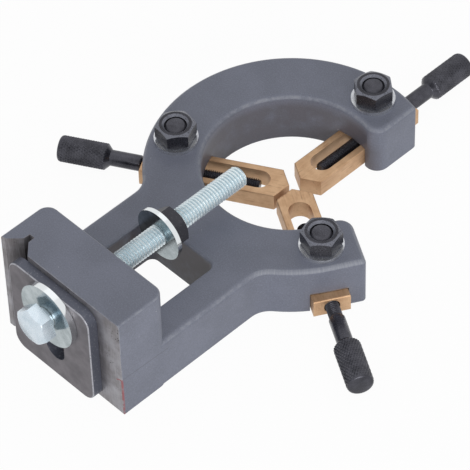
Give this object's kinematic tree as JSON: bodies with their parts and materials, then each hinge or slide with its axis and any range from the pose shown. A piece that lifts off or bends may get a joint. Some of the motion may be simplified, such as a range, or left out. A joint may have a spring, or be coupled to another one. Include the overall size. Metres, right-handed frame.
{
  "type": "steady rest",
  "caption": "Steady rest for a bench lathe: cast C-shaped frame with screw-adjusted bronze fingers that support a turning workpiece, and a bolt and slotted plate that clamp it to the bed.",
  "frame": {"origin": "on the workpiece axis, in the middle of the ring, in the plane of the frame's flat back face", "axes": "+Z along the workpiece axis, out of the flat back face; +Y from the bed face to the top finger; +X towards the mouth of the ring"},
  "size_m": [0.1587, 0.2125, 0.0455],
  "materials": {
    "frame_paint": "cast iron in satin blue-grey paint, bed face machined bare",
    "bronze": "milled bronze with brushed grain",
    "black_steel": "black oxide, slightly oily",
    "washer_steel": "dull plain steel",
    "zinc_steel": "bright zinc plate",
    "bare_steel": "bare milled steel, lightly aged"
  },
  "bodies": {
    "frame": {"frame_casting": "frame_paint", "lock_stud_top": "black_steel", "lock_stud_left": "black_steel", "lock_stud_right": "black_steel"},
    "finger_top": {"finger_top": "bronze"},
    "adjusting_screw_top": {"adjusting_screw_top": "black_steel"},
    "lock_washer_top": {"lock_washer_top": "washer_steel"},
    "lock_nut_top": {"lock_nut_top": "black_steel"},
    "finger_left": {"finger_left": "bronze"},
    "adjusting_screw_left": {"adjusting_screw_left": "black_steel"},
    "lock_washer_left": {"lock_washer_left": "washer_steel"},
    "lock_nut_left": {"lock_nut_left": "black_steel"},
    "finger_right": {"finger_right": "bronze"},
    "adjusting_screw_right": {"adjusting_screw_right": "black_steel"},
    "lock_washer_right": {"lock_washer_right": "washer_steel"},
    "lock_nut_right": {"lock_nut_right": "black_steel"},
    "clamp_bolt": {"clamp_bolt": "zinc_steel"},
    "clamp_bolt_washer": {"clamp_bolt_washer": "zinc_steel"},
    "clamp_plate": {"clamp_plate": "bare_steel"},
    "clamp_nut_washer": {"clamp_nut_washer": "zinc_steel"},
    "clamp_nut": {"clamp_nut": "black_steel"}
  },
  "joints": [
    {"name": "finger_top_slide", "type": "slide", "parent": "frame", "child": "finger_top", "axis": [0, 1, 0], "range_m": [-0.00445, 0.0257]},
    {"name": "adjusting_screw_top_turn", "type": "hinge", "parent": "finger_top", "child": "adjusting_screw_top", "pos_m": [0, 0, 0.0051], "axis": [0, 1, 0], "range_deg": [-2002.5, 11565]},
    {"name": "lock_washer_top_lift", "type": "slide", "parent": "frame", "child": "lock_washer_top", "axis": [0, 0, 1], "range_m": [0, 0.00125]},
    {"name": "lock_nut_top_turn", "type": "hinge", "parent": "lock_washer_top", "child": "lock_nut_top", "pos_m": [0, 0.0419, 0], "axis": [0, 0, 1], "range_deg": [0, 360]},
    {"name": "finger_left_slide", "type": "slide", "parent": "frame", "child": "finger_left", "axis": [-0.866, -0.5, 0], "range_m": [-0.00025, 0.0299]},
    {"name": "adjusting_screw_left_turn", "type": "hinge", "parent": "finger_left", "child": "adjusting_screw_left", "pos_m": [0, 0, 0.0051], "axis": [-0.866, -0.5, 0], "range_deg": [-112.5, 13455]},
    {"name": "lock_washer_left_lift", "type": "slide", "parent": "frame", "child": "lock_washer_left", "axis": [0, 0, 1], "range_m": [0, 0.00125]},
    {"name": "lock_nut_left_turn", "type": "hinge", "parent": "lock_washer_left", "child": "lock_nut_left", "pos_m": [-0.03629, -0.02095, 0], "axis": [0, 0, 1], "range_deg": [0, 360]},
    {"name": "finger_right_slide", "type": "slide", "parent": "frame", "child": "finger_right", "axis": [0.866, -0.5, 0], "range_m": [-0.00145, 0.0244]},
    {"name": "adjusting_screw_right_turn", "type": "hinge", "parent": "finger_right", "child": "adjusting_screw_right", "pos_m": [0, 0, 0.0051], "axis": [0.866, -0.5, 0], "range_deg": [-652.5, 10980]},
    {"name": "lock_washer_right_lift", "type": "slide", "parent": "frame", "child": "lock_washer_right", "axis": [0, 0, 1], "range_m": [0, 0.00125]},
    {"name": "lock_nut_right_turn", "type": "hinge", "parent": "lock_washer_right", "child": "lock_nut_right", "pos_m": [0.03629, -0.02095, 0], "axis": [0, 0, 1], "range_deg": [0, 360]},
    {"name": "clamp_bolt_slide", "type": "slide", "parent": "frame", "child": "clamp_bolt", "axis": [0, 1, 0], "range_m": [-0.016, 0]},
    {"name": "clamp_plate_swing", "type": "hinge", "parent": "clamp_bolt", "child": "clamp_bolt_washer", "pos_m": [0, -0.1084, 0.0326], "axis": [0, 1, 0], "range_deg": [-90, 90]},
    {"name": "clamp_plate_slide", "type": "slide", "parent": "clamp_bolt_washer", "child": "clamp_plate", "axis": [0, 0, 1], "range_m": [0, 0.0188]},
    {"name": "clamp_nut_travel", "type": "slide", "parent": "clamp_bolt", "child": "clamp_nut_washer", "axis": [0, 1, 0], "range_m": [-0.0072, 0.024]},
    {"name": "clamp_nut_turn", "type": "hinge", "parent": "clamp_nut_washer", "child": "clamp_nut", "pos_m": [0, -0.1084, 0.0326], "axis": [0, 1, 0], "range_deg": [-2073.6, 6912]}
  ],
  "couplings": [
    {"joint": "adjusting_screw_top_turn", "follows": "finger_top_slide", "rad_per_m": 7854},
    {"joint": "lock_nut_top_turn", "follows": "lock_washer_top_lift", "rad_per_m": 5026.5},
    {"joint": "adjusting_screw_left_turn", "follows": "finger_left_slide", "rad_per_m": 7854},
    {"joint": "lock_nut_left_turn", "follows": "lock_washer_left_lift", "rad_per_m": 5026.5},
    {"joint": "adjusting_screw_right_turn", "follows": "finger_right_slide", "rad_per_m": 7854},
    {"joint": "lock_nut_right_turn", "follows": "lock_washer_right_lift", "rad_per_m": 5026.5},
    {"joint": "clamp_nut_turn", "follows": "clamp_nut_travel", "rad_per_m": 5026.5}
  ]
}
